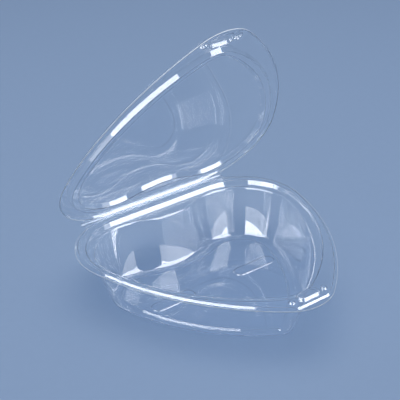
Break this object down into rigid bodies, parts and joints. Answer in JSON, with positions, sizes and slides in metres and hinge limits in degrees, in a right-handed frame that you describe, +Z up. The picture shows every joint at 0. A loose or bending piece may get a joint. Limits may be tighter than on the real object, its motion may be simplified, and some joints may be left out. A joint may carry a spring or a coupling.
{
  "type": "plastic clamshell pack",
  "caption": "Clear heart-shaped hinged clamshell pack: deep tray with a foot ring, flat lid with a plug groove, rolled living hinge and a press-in latch at the tip.",
  "frame": {"origin": "on the surface the pack stands on, under the middle of its depth and width with the lid open as in the picture", "axes": "+X along the hinge, +Y from the latch at the heart's tip to the hinge, +Z up out of the tray"},
  "size_m": [0.15, 0.1506, 0.1616],
  "materials": {
    "clear_sheet": "clear, glossy, thermoformed"
  },
  "bodies": {
    "tray": {"tray": "clear_sheet", "living_hinge": "clear_sheet"},
    "lid": {"lid": "clear_sheet"}
  },
  "joints": [
    {"name": "lid_hinge", "type": "hinge", "parent": "tray", "child": "lid", "pos_m": [0, 0.07415, 0.03315], "axis": [-1, 0, 0], "range_deg": [-59, 121], "deforming": ["living_hinge"]}
  ]
}
